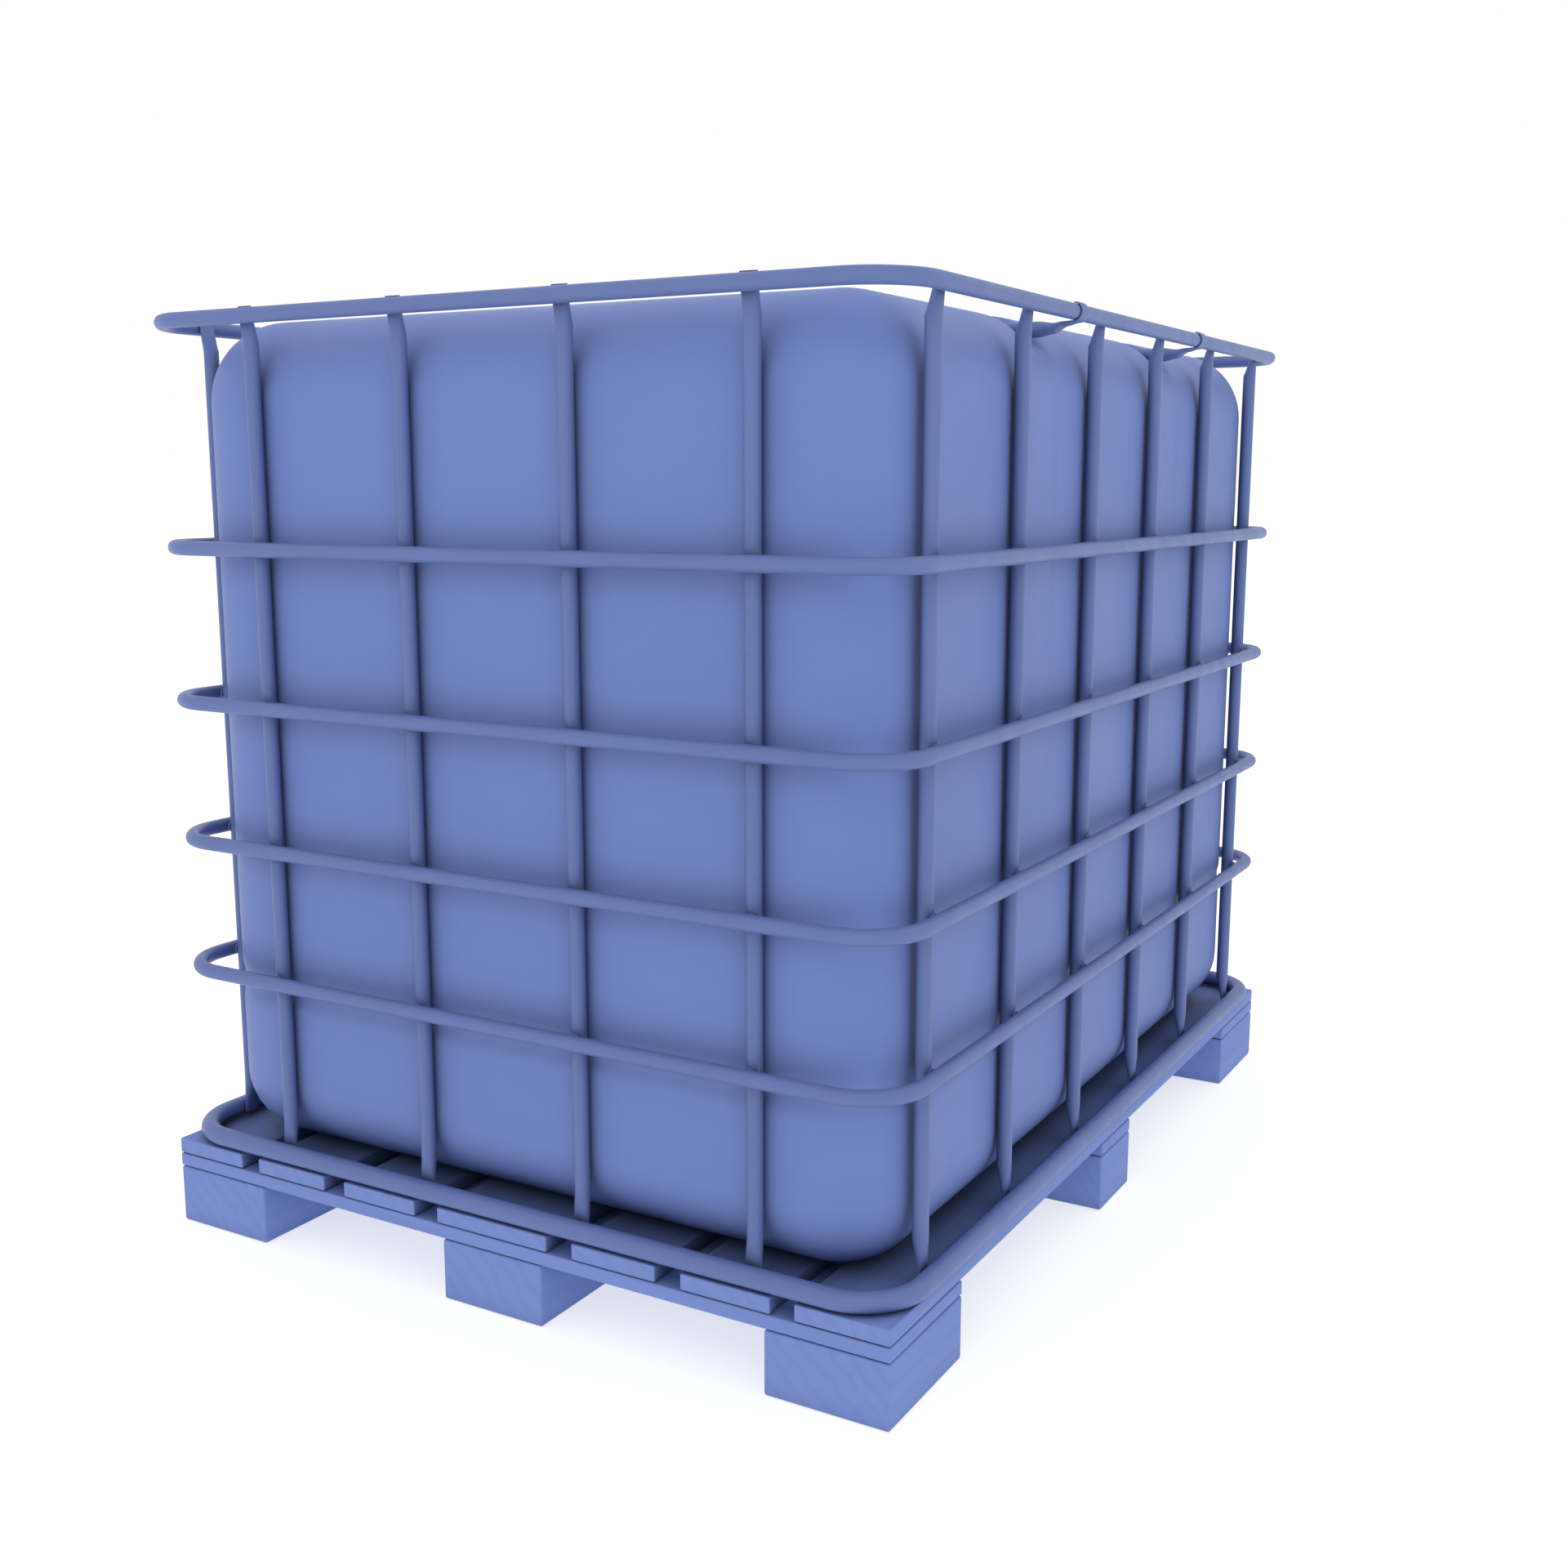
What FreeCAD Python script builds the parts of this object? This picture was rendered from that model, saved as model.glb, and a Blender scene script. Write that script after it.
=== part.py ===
import FreeCAD, Part
import math
import os

# Intermediate bulk container: wooden pallet, tubular steel cage, blow-moulded bottle, lid and valve.
# Millimetres, +Z up, origin at the middle of the pallet's underside, filling side up, valve on +Y.

os.makedirs("parts", exist_ok=True)
V = FreeCAD.Vector
X, Y, Z = V(1, 0, 0), V(0, 1, 0), V(0, 0, 1)

# ---- pallet
PALLET_W, PALLET_L = 1000.0, 1320.0          # X, Y
BLOCK_H, STRINGER_T, DECK_T = 73.0, 17.2, 19.5
DECK_Z = BLOCK_H + STRINGER_T + DECK_T       # top of the deck
CORNER_W, MIDDLE_W = 145.0, 141.0            # block widths along X
END_ROW_L, MIDDLE_ROW_L = 172.5, 109.0       # block and stringer widths along Y
BOARDS = [(-445.0, 110.0), (-308.0, 110.0), (-166.75, 110.5), (0.0, 157.0),
          (166.75, 110.5), (308.0, 110.0), (445.0, 110.0)]   # centre X and width
EASE, BLOCK_EASE = 1.5, 2.0                  # eased wooden edges
NAIL_ACROSS, NAIL_ALONG = 0.27, 0.24         # a nail's place, as a share of the crossing's sides
NAIL_R, NAIL_HEAD_R, NAIL_HEAD_T = 1.7, 4.5, 1.5
NAIL_LONG, NAIL_SHORT = 60.0, 34.0
SCREW_R, SCREW_HEAD_R, SCREW_HEAD_T, SCREW_L = 2.4, 5.0, 3.0, 45.0
SCREW_X = [-308.0, -166.75, 166.75, 308.0]
HOLE_EXTRA = 0.05                            # radial room round a nail or screw

# ---- cage
RING_HX, RING_HY, RING_CORNER_R = 496.2, 650.1, 68.6   # half sizes and corner radius of the tube's axis
TUBE_R, TUBE_WALL = 8.8, 1.3
BASE_TUBE_R, BASE_TUBE_WALL = 11.3, 1.5
RING_Z = [1106.2, 847.1, 664.3, 494.8, 333.6, DECK_Z + 11.4]   # top to bottom
WELD_GAP = 0.05
UPRIGHT_PITCH = 220.0
LEFT_PITCH = 222.6                          # the left row is spread a little wider
UPRIGHT_Z0, UPRIGHT_Z1 = 117.0, 1117.5
PINCH_L, PINCH_T, PINCH_W = 40.0, 4.0, 20.0  # flattened upright ends
END_PLUG = 3.0                               # solid metal before a flattened end begins
FOOT_CLEAR = 0.6                             # extra set-back of the lower ends from the base ring
BAR_Y, BAR_Z = 222.0, 1089.5                 # cross bars over the bottle
BAR_STRAIGHT = 452.0                         # half length that stays round
BAR_OVAL = (470.0, 0.6, 9.6, 6.0)            # X, rise over BAR_Z, half width and half height
BAR_STRIP = (484.0, -1.6, 2.4)               # X, rise over the hook's strip, half height
HOOK_T, HOOK_W, HOOK_GAP, HOOK_LAP = 2.2, 22.0, 0.15, 2.0

# ---- bottle
BOTTLE_HX, BOTTLE_HY, BOTTLE_R = 469.0, 623.0, 97.0
BOTTLE_Z0, BOTTLE_Z1 = DECK_Z + 0.1, 1110.0
BOTTLE_TOP_R, BOTTLE_FOOT_R, WALL = 96.0, 86.0, 4.0
BEAD_Z, BEAD_DEPTH = [293.0, 306.0, 325.0, 338.0], 2.5   # shallow horizontal groove
GROOVE_Z, GROOVE_HX, GROOVE_R = 1080.0, 467.0, 50.0      # grooves that the cross bars lie in
GROOVE_FLAT, GROOVE_SLOPE, GROOVE_RIM = 14.0, 16.0, 0.6
WELL_Z, WELL_R0, WELL_R1 = 1052.0, 100.0, 126.0          # sunk round well for the filling neck
NECK_R, NECK_BORE_R, NECK_Z = 80.0, 72.0, 1098.0
RECESS_HX, RECESS_Y, RECESS_Z, RECESS_R = 120.0, 470.0, 285.0, 30.0
SPOUT_R, SPOUT_BORE_R, SPOUT_Y = 38.0, 25.0, 505.0
ROOT = 2.0                                   # how far joined shapes reach into each other
PAST = 5.0                                   # how far a cutting shape runs past what it cuts

# ---- lid
LID_R, LID_BORE_R, LID_Z0, LID_ROOF_Z, LID_Z1 = 87.0, 80.6, 1072.0, 1102.0, 1107.5
LID_RIBS, LID_RIB_R, LID_EDGE_R = 24, 2.5, 3.0
LID_DISH_R, LID_DISH, GRIP_HALF_L, GRIP_HALF_W = 69.0, 2.5, 71.0, 4.0
LID_GASKET_T, LID_GASKET_GAP = 3.6, 0.2

# ---- discharge valve, axis along Y at this height
VALVE_Z, STEM_Y = 178.0, 554.0
VALVE_BORE_R, OUTLET_R, VALVE_END_Y = 25.3, 30.0, 606.0
HOUSING_R, HOUSING_Y0, HOUSING_Y1 = 37.0, 524.0, 584.0
FLANGE_R, FLANGE_T, GASKET_T = 37.5, 6.0, 3.0
NUT_R, NUT_Y0, NUT_Y1, NUT_LUGS, NUT_LUG_R = 50.0, 479.0, 520.0, 12, 4.5
NUT_BODY_R, NUT_THREAD_GAP, NUT_FACE_GAP = 47.0, 0.3, 0.2
SEAT_R, SEAT_BORE_R, SEAT_HALF, SEAT_GAP = 29.5, 25.06, 13.0, 0.05
DISC_R, DISC_HALF_T, DISC_HUB_R, STEM_R, STEM_BORE_R = 25.0, 3.5, 7.0, 5.0, 5.05
BOSS_R, BOSS_TOP, LEVER_Z, LEVER_T = 12.0, 48.0, 49.5, 12.0   # heights above the valve axis
LEVER_L, LEVER_W, LEVER_HUB_R, LEVER_STEP, STEM_FOOT = 95.0, 18.0, 14.0, 2.0, 33.0
CAP_R, CAP_BORE_R, CAP_Y0, CAP_ROOF_Y, CAP_Y1 = 36.0, 30.4, 586.0, 608.9, 613.0
CAP_RIBS, CAP_RIB_R, CAP_RIB_AXIS_R, CAP_RIB_SHORT = 16, 2.0, 35.2, 4.0
OUTLET_GASKET_R, OUTLET_GASKET_BORE_R, OUTLET_GASKET_GAP = 29.5, 22.0, 0.2


def box(x0, x1, y0, y1, z0, z1):
    return Part.makeBox(x1 - x0, y1 - y0, z1 - z0, V(x0, y0, z0))


def cyl(r, h, x, y, z, axis=Z):
    return Part.makeCylinder(r, h, V(x, y, z), axis)


def along_y(r, y0, y1):
    """Cylinder on the valve's axis."""
    return cyl(r, y1 - y0, 0, y0, VALVE_Z, Y)


def eased(shape, size=EASE):
    return shape.makeChamfer(size, shape.Edges)


def save(name, shape):
    shape.exportStep("parts/%s.step" % name)


def plan(hx, hy, r, z):
    """Rounded rectangle in the XY plane."""
    k = r * (1 - math.sqrt(0.5))
    edges = []
    corners = [(hx, hy, 1, 1), (-hx, hy, -1, 1), (-hx, -hy, -1, -1), (hx, -hy, 1, -1)]
    for i, (cx, cy, sx, sy) in enumerate(corners):
        on_side, on_end = V(cx, cy - sy * r, z), V(cx - sx * r, cy, z)
        mid = V(cx - sx * k, cy - sy * k, z)
        start, end = (on_side, on_end) if sx == sy else (on_end, on_side)
        nx, ny, tx, ty = corners[(i + 1) % 4]
        follow = V(nx, ny - ty * r, z) if tx == ty else V(nx - tx * r, ny, z)
        edges += [Part.Arc(start, mid, end).toShape(), Part.makeLine(end, follow)]
    return Part.Wire(edges)


def arch(hx, top, r, y):
    """Round-shouldered profile in the XZ plane, from the floor up to the given top."""
    k = r * (1 - math.sqrt(0.5))
    p = [V(-hx, y, 0), V(-hx, y, top - r), V(-hx + r, y, top), V(hx - r, y, top), V(hx, y, top - r),
         V(hx, y, 0)]
    left = Part.Arc(p[1], V(-hx + k, y, top - k), p[2]).toShape()
    right = Part.Arc(p[3], V(hx - k, y, top - k), p[4]).toShape()
    return Part.Wire([Part.makeLine(p[0], p[1]), left, Part.makeLine(p[2], p[3]), right,
                      Part.makeLine(p[4], p[5]), Part.makeLine(p[5], p[0])])


# ------------------------------------------------------------------ pallet

def row_y():
    shift = (PALLET_L - END_ROW_L) / 2
    return [(-shift, END_ROW_L), (0.0, MIDDLE_ROW_L), (shift, END_ROW_L)]


def nail_places():
    """X, Y and length of every nail: two on the diagonal of each crossing of a board and a stringer."""
    places = []
    for x, w in BOARDS:
        over_block = abs(x) < 1 or abs(x) > PALLET_W / 2 - CORNER_W
        for y, depth in row_y():
            for side in (-1, 1):
                places.append((x + side * NAIL_ACROSS * w, y + side * NAIL_ALONG * depth,
                               NAIL_LONG if over_block else NAIL_SHORT))
    return places


def nail(x, y, length, extra=0.0):
    head = cyl(NAIL_HEAD_R + extra, NAIL_HEAD_T, x, y, DECK_Z - NAIL_HEAD_T)
    return head.fuse(cyl(NAIL_R + extra, length, x, y, DECK_Z - length))


def screw(x, y, extra=0.0):
    head = cyl(SCREW_HEAD_R + extra, SCREW_HEAD_T, x, y, BLOCK_H)
    return head.fuse(cyl(SCREW_R + extra, SCREW_L, x, y, BLOCK_H))


def screw_places():
    return [(x, y) for x in SCREW_X for y in (-RING_HY, RING_HY)]


def drilled(shape):
    """Take the nail and screw holes out of a wooden piece."""
    bounds = shape.BoundBox
    tools = [nail(x, y, n, HOLE_EXTRA) for x, y, n in nail_places()
             if bounds.XMin < x < bounds.XMax and bounds.YMin < y < bounds.YMax]
    tools += [screw(x, y, HOLE_EXTRA) for x, y in screw_places()
              if bounds.XMin < x < bounds.XMax and bounds.YMin < y < bounds.YMax]
    tools = [t for t in tools if t.BoundBox.ZMin < bounds.ZMax and t.BoundBox.ZMax > bounds.ZMin]
    return shape.cut(tools) if tools else shape


def make_pallet():
    number = 0
    for y, depth in row_y():
        for x in (-1, 0, 1):
            number += 1
            w = MIDDLE_W if x == 0 else CORNER_W
            cx = x * (PALLET_W - CORNER_W) / 2
            block = box(cx - w / 2, cx + w / 2, y - depth / 2, y + depth / 2, 0, BLOCK_H)
            save("block_%d" % number, drilled(eased(block, BLOCK_EASE)))
    for i, (y, depth) in enumerate(row_y()):
        z = BLOCK_H
        board = box(-PALLET_W / 2, PALLET_W / 2, y - depth / 2, y + depth / 2, z, z + STRINGER_T)
        save("stringer_%d" % (i + 1), drilled(eased(board)))
    for i, (x, w) in enumerate(BOARDS):
        board = box(x - w / 2, x + w / 2, -PALLET_L / 2, PALLET_L / 2, DECK_Z - DECK_T, DECK_Z)
        save("deck_board_%d" % (i + 1), drilled(eased(board)))
    save("deck_nails", Part.makeCompound([nail(*place) for place in nail_places()]))
    save("cage_screws", Part.makeCompound([screw(*place) for place in screw_places()]))


# ------------------------------------------------------------------ cage

def ring_solid(z, r):
    """Closed ring: four straight rods joined by quarter tori."""
    straight_x, straight_y = RING_HX - RING_CORNER_R, RING_HY - RING_CORNER_R
    rods = []
    for side in (-1, 1):
        rods.append(cyl(r, 2 * straight_x, -straight_x, side * RING_HY, z, X))
        rods.append(cyl(r, 2 * straight_y, side * RING_HX, -straight_y, z, Y))
    bends = []
    for turn, (sx, sy) in enumerate(((1, 1), (-1, 1), (-1, -1), (1, -1))):
        bend = Part.makeTorus(RING_CORNER_R, r, V(0, 0, 0), Z, -180, 180, 90)
        bend.rotate(V(0, 0, 0), Z, 90.0 * turn)
        bend.translate(V(sx * straight_x, sy * straight_y, z))
        bends.append(bend)
    return rods[0].fuse(rods[1:] + bends)


def ring(z, r, wall):
    return ring_solid(z, r).cut(ring_solid(z, r - wall))


def flat_end(offset, thickness, width, z):
    """Flattened tube section: an ellipse, pushed outwards along +Y by the offset."""
    ellipse = Part.Ellipse(V(0, offset, z), width / 2, thickness / 2)
    return Part.Wire(ellipse.toShape())


def upright(x, y, turn):
    """Tube with pinched ends; its outer side stays against the rings."""
    z0, z1 = UPRIGHT_Z0 + PINCH_L, UPRIGHT_Z1 - PINCH_L
    top_shift = TUBE_R - PINCH_T / 2
    foot_shift = top_shift - (BASE_TUBE_R - TUBE_R) - FOOT_CLEAR
    body = cyl(TUBE_R, z1 - z0, 0, 0, z0)
    ends = []
    for z_round, z_flat, shift in ((z0, UPRIGHT_Z0, foot_shift), (z1, UPRIGHT_Z1, top_shift)):
        circle = Part.Wire(Part.makeCircle(TUBE_R, V(0, 0, z_round)))
        ends.append(Part.makeLoft([circle, flat_end(shift, PINCH_T, PINCH_W, z_flat)], True, True))
    tube = body.fuse(ends)
    tube = tube.cut(cyl(TUBE_R - TUBE_WALL, z1 - z0 - 2 * END_PLUG, 0, 0, z0 + END_PLUG))
    tube.rotate(V(0, 0, 0), Z, turn)
    tube.translate(V(x, y, 0))
    return tube


def upright_places():
    """X, Y and turn of each upright, counted along the front, right, back and left."""
    side_x = RING_HX - 2 * TUBE_R - WELD_GAP
    end_y = RING_HY - 2 * TUBE_R - WELD_GAP
    across = [(i + 0.5) * UPRIGHT_PITCH for i in (-2, -1, 0, 1)]
    deep, deep_left = [[(i + 0.5) * pitch for i in (-3, -2, -1, 0, 1, 2)]
                       for pitch in (UPRIGHT_PITCH, LEFT_PITCH)]
    return ([(x, -end_y, 180.0) for x in across] + [(side_x, y, -90.0) for y in deep]
            + [(x, end_y, 0.0) for x in reversed(across)] + [(-side_x, y, 90.0) for y in reversed(deep_left)])


def bar_end(y):
    """Flattened end of a cross bar: under the top ring, round its outside and over its top."""
    inner = TUBE_R + HOOK_GAP
    strip_z = RING_Z[0] - inner - HOOK_T / 2
    oval_x, oval_rise, oval_half_w, oval_half_h = BAR_OVAL
    flat_x, flat_rise, flat_half_h = BAR_STRIP
    sections = [(BAR_STRAIGHT, BAR_Z, TUBE_R, TUBE_R), (oval_x, BAR_Z + oval_rise, oval_half_w, oval_half_h),
                (flat_x, strip_z + flat_rise, HOOK_W / 2, flat_half_h),
                (RING_HX, strip_z, HOOK_W / 2, HOOK_T / 2)]
    wires = []
    for x, z, half_w, half_h in sections:
        if half_w == half_h:
            oval = Part.makeCircle(half_w)
        else:
            oval = Part.Ellipse(V(0, 0, 0), half_w, half_h).toShape()
        oval.rotate(V(0, 0, 0), Z, 90.0)
        oval.rotate(V(0, 0, 0), Y, 90.0)
        oval.translate(V(x, y, z))
        wires.append(Part.Wire(oval))
    neck = Part.makeLoft(wires, True)
    centre = V(RING_HX, y - HOOK_W / 2, RING_Z[0])
    hook = Part.makeCylinder(inner + HOOK_T, HOOK_W, centre, Y)
    hook = hook.cut(Part.makeCylinder(inner, HOOK_W, centre, Y))
    reach = inner + HOOK_T + PAST
    keep = box(RING_HX - HOOK_LAP, RING_HX + reach, y - HOOK_W, y + HOOK_W, RING_Z[0] - reach,
               RING_Z[0] + reach)
    return neck, hook.common(keep)


def cross_bar(y):
    neck, hook = bar_end(y)
    sleeve = cyl(TUBE_R + HOOK_GAP, 2 * HOOK_W, RING_HX, y - HOOK_W, RING_Z[0], Y)
    end = neck.cut(sleeve).fuse(hook)
    other = end.mirror(V(0, y, 0), X)
    tube = cyl(TUBE_R, 2 * BAR_STRAIGHT, -BAR_STRAIGHT, y, BAR_Z, X)
    bar = tube.fuse([end, other])
    hollow = BAR_STRAIGHT - END_PLUG
    return bar.cut(cyl(TUBE_R - TUBE_WALL, 2 * hollow, -hollow, y, BAR_Z, X))


def make_cage():
    for i, z in enumerate(RING_Z):
        last = i == len(RING_Z) - 1
        tube = ring(z, BASE_TUBE_R, BASE_TUBE_WALL) if last else ring(z, TUBE_R, TUBE_WALL)
        if last:
            holes = [cyl(SCREW_R + HOLE_EXTRA, z - BLOCK_H, x, y, BLOCK_H) for x, y in screw_places()]
            tube = tube.cut(holes)
        save("ring_%d" % (i + 1), tube)
    for i, place in enumerate(upright_places()):
        save("upright_%d" % (i + 1), upright(*place))
    for i, y in enumerate((-BAR_Y, BAR_Y)):
        save("cross_bar_%d" % (i + 1), cross_bar(y))


# ------------------------------------------------------------------ bottle

def bottle_form(inset):
    """The bottle's form moved inwards by the inset: without its neck and spout."""
    hx, hy, r = BOTTLE_HX - inset, BOTTLE_HY - inset, BOTTLE_R - inset
    z0, z1 = BOTTLE_Z0 + inset, BOTTLE_Z1 - inset
    form = Part.Face(plan(hx, hy, r, z0)).extrude(V(0, 0, z1 - z0))
    top = [e for e in form.Edges if abs(e.BoundBox.ZMin - z1) < 0.01]
    form = form.makeFillet(BOTTLE_TOP_R - inset, top)
    foot = [e for e in form.Edges if abs(e.BoundBox.ZMax - z0) < 0.01]
    form = form.makeFillet(BOTTLE_FOOT_R - inset, foot)
    # horizontal groove round the sides
    depth = BEAD_DEPTH
    waist = []
    for (za, da), (zb, db) in zip(zip(BEAD_Z, (0, depth, depth, 0)),
                                  list(zip(BEAD_Z, (0, depth, depth, 0)))[1:]):
        waist.append(Part.makeLoft([plan(hx - da, hy - da, r - da, za),
                                    plan(hx - db, hy - db, r - db, zb)], True, True))
    band = box(-hx - PAST, hx + PAST, -hy - PAST, hy + PAST, BEAD_Z[0], BEAD_Z[-1])
    form = form.cut(band.cut(waist[0].fuse(waist[1:])))
    # grooves for the cross bars
    for y in (-BAR_Y, BAR_Y):
        flat, wide = GROOVE_FLAT + inset, GROOVE_FLAT + GROOVE_SLOPE + inset
        low = (GROOVE_HX - inset, GROOVE_Z - inset, GROOVE_R)
        high = (hx + GROOVE_RIM, z1 + GROOVE_RIM, BOTTLE_TOP_R - inset)
        wires = [arch(*(high + (y - wide,))), arch(*(low + (y - flat,))),
                 arch(*(low + (y + flat,))), arch(*(high + (y + wide,)))]
        kept = [Part.makeLoft([a, b], True, True) for a, b in zip(wires, wires[1:])]
        slab = box(-hx - PAST, hx + PAST, y - wide, y + wide, 1.0, z1 + PAST)
        form = form.cut(slab.cut(kept[0].fuse(kept[1:])))
    # sunk well round the neck, and the recess for the valve
    well = Part.makeCone(WELL_R0 + inset, WELL_R1 + inset, BOTTLE_Z1 - WELL_Z + inset,
                         V(0, 0, WELL_Z - inset))
    recess = box(-RECESS_HX - inset, RECESS_HX + inset, RECESS_Y - inset, BOTTLE_HY + 2 * RECESS_R,
                 0, RECESS_Z + inset)
    corners = [e for e in recess.Edges if e.BoundBox.YMax < RECESS_Y + 1 and e.BoundBox.ZLength > 1]
    corners += [e for e in recess.Edges if e.BoundBox.ZMin > RECESS_Z - 1 and e.BoundBox.YLength > 1]
    recess = recess.makeFillet(RECESS_R + inset, corners)
    return form.cut([well, recess])


def make_bottle():
    outer = bottle_form(0.0)
    outer = outer.fuse([cyl(NECK_R, NECK_Z - WELL_Z + ROOT, 0, 0, WELL_Z - ROOT),
                        along_y(SPOUT_R, RECESS_Y - ROOT, SPOUT_Y)])
    inner = bottle_form(WALL)
    bore_z = WELL_Z - WALL - PAST
    bores = [cyl(NECK_BORE_R, NECK_Z + PAST - bore_z, 0, 0, bore_z),
             along_y(SPOUT_BORE_R, RECESS_Y - WALL - PAST, SPOUT_Y + PAST)]
    save("bottle", outer.cut(inner.fuse(bores)))


def make_lid():
    lid = cyl(LID_R, LID_Z1 - LID_Z0, 0, 0, LID_Z0)
    lid = lid.makeFillet(LID_EDGE_R, [e for e in lid.Edges if abs(e.BoundBox.ZMin - LID_Z1) < 0.01])
    ribs = []
    for i in range(LID_RIBS):
        a = 2 * math.pi * i / LID_RIBS
        ribs.append(cyl(LID_RIB_R, LID_Z1 - LID_Z0 - 2 * LID_EDGE_R, (LID_R - 1) * math.cos(a),
                        (LID_R - 1) * math.sin(a), LID_Z0))
    lid = lid.fuse(ribs)
    lid = lid.cut([cyl(LID_BORE_R, LID_ROOF_Z - LID_Z0, 0, 0, LID_Z0),
                   cyl(LID_DISH_R, LID_DISH + PAST, 0, 0, LID_Z1 - LID_DISH)])
    grips = [box(-GRIP_HALF_L, GRIP_HALF_L, -GRIP_HALF_W, GRIP_HALF_W, LID_ROOF_Z + 1, LID_Z1),
             box(-GRIP_HALF_W, GRIP_HALF_W, -GRIP_HALF_L, GRIP_HALF_L, LID_ROOF_Z + 1, LID_Z1)]
    save("fill_lid", lid.fuse(grips))
    gasket_z = NECK_Z + LID_GASKET_GAP
    gasket = cyl(NECK_R - 0.5, LID_GASKET_T, 0, 0, gasket_z)
    save("lid_gasket", gasket.cut(cyl(NECK_BORE_R - 1, LID_GASKET_T, 0, 0, gasket_z)))


# ------------------------------------------------------------------ discharge valve

def make_valve():
    y1 = SPOUT_Y + GASKET_T
    y2 = y1 + FLANGE_T
    save("valve_gasket", along_y(FLANGE_R, SPOUT_Y, y1).cut(along_y(SPOUT_BORE_R + 0.5, SPOUT_Y, y1)))

    nut = along_y(NUT_BODY_R, NUT_Y0, NUT_Y1)
    lugs, lug_axis_r, lug_end = [], NUT_R - NUT_LUG_R, 4.0
    for i in range(NUT_LUGS):
        a = 2 * math.pi * i / NUT_LUGS
        lugs.append(cyl(NUT_LUG_R, NUT_Y1 - NUT_Y0 - 2 * lug_end, lug_axis_r * math.cos(a), NUT_Y0 + lug_end,
                        VALVE_Z + lug_axis_r * math.sin(a), Y))
    nut = nut.fuse(lugs)
    nut = nut.cut([along_y(SPOUT_R + NUT_THREAD_GAP, NUT_Y0, y2 + NUT_FACE_GAP),
                   along_y(OUTLET_R + 1, NUT_Y0, NUT_Y1)])
    save("valve_nut", nut)

    body = along_y(FLANGE_R, y1, y2).fuse([
        along_y(OUTLET_R + 0.5, y2 - 1, HOUSING_Y0 + 1), along_y(HOUSING_R, HOUSING_Y0, HOUSING_Y1),
        along_y(OUTLET_R, HOUSING_Y1 - 1, VALVE_END_Y), cyl(BOSS_R, BOSS_TOP, 0, STEM_Y, VALVE_Z)])
    body = body.cut([along_y(VALVE_BORE_R, y1, VALVE_END_Y),
                     along_y(SEAT_R, STEM_Y - SEAT_HALF, STEM_Y + SEAT_HALF),
                     cyl(STEM_BORE_R, BOSS_TOP + STEM_FOOT + 1, 0, STEM_Y, VALVE_Z - STEM_FOOT - 1)])
    save("valve_body", body)

    seat = along_y(SEAT_R - SEAT_GAP, STEM_Y - SEAT_HALF + SEAT_GAP, STEM_Y + SEAT_HALF - SEAT_GAP)
    seat = seat.cut([along_y(SEAT_BORE_R, STEM_Y - SEAT_HALF, STEM_Y + SEAT_HALF),
                     cyl(STEM_BORE_R, 2 * HOUSING_R, 0, STEM_Y, VALVE_Z - HOUSING_R)])
    save("valve_seat", seat)

    ball = Part.makeSphere(DISC_R, V(0, STEM_Y, VALVE_Z))
    plate = along_y(DISC_R + PAST, STEM_Y - DISC_HALF_T, STEM_Y + DISC_HALF_T)
    hub = cyl(DISC_HUB_R, 2 * (DISC_R + PAST), 0, STEM_Y, VALVE_Z - DISC_R - PAST)
    stem_top = LEVER_Z + LEVER_T
    stem = cyl(STEM_R, stem_top + STEM_FOOT, 0, STEM_Y, VALVE_Z - STEM_FOOT)
    save("valve_disc", ball.common(plate.fuse(hub)).fuse(stem))

    z = VALVE_Z + LEVER_Z
    arm_z, arm_t, tip_x = z + LEVER_STEP, LEVER_T - 2 * LEVER_STEP, LEVER_L - LEVER_W / 2
    arm = box(0, tip_x, STEM_Y - LEVER_W / 2, STEM_Y + LEVER_W / 2, arm_z, arm_z + arm_t)
    tip = cyl(LEVER_W / 2, arm_t, tip_x, STEM_Y, arm_z)
    lever = cyl(LEVER_HUB_R, LEVER_T, 0, STEM_Y, z).fuse([arm, tip])
    save("valve_lever", lever.cut(cyl(STEM_R, LEVER_T, 0, STEM_Y, z)))

    cap = along_y(CAP_R, CAP_Y0, CAP_Y1)
    ribs = []
    for i in range(CAP_RIBS):
        a = 2 * math.pi * i / CAP_RIBS
        ribs.append(cyl(CAP_RIB_R, CAP_Y1 - CAP_Y0 - CAP_RIB_SHORT, CAP_RIB_AXIS_R * math.cos(a), CAP_Y0,
                        VALVE_Z + CAP_RIB_AXIS_R * math.sin(a), Y))
    cap = cap.fuse(ribs).cut(along_y(CAP_BORE_R, CAP_Y0, CAP_ROOF_Y))
    save("outlet_cap", cap)
    gasket = along_y(OUTLET_GASKET_R, VALVE_END_Y + OUTLET_GASKET_GAP, CAP_ROOF_Y - OUTLET_GASKET_GAP)
    save("outlet_gasket", gasket.cut(along_y(OUTLET_GASKET_BORE_R, VALVE_END_Y, CAP_ROOF_Y)))


make_pallet()
make_cage()
make_bottle()
make_lid()
make_valve()
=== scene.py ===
import math

import bmesh
import bpy
from mathutils import Matrix, Vector, noise


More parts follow.
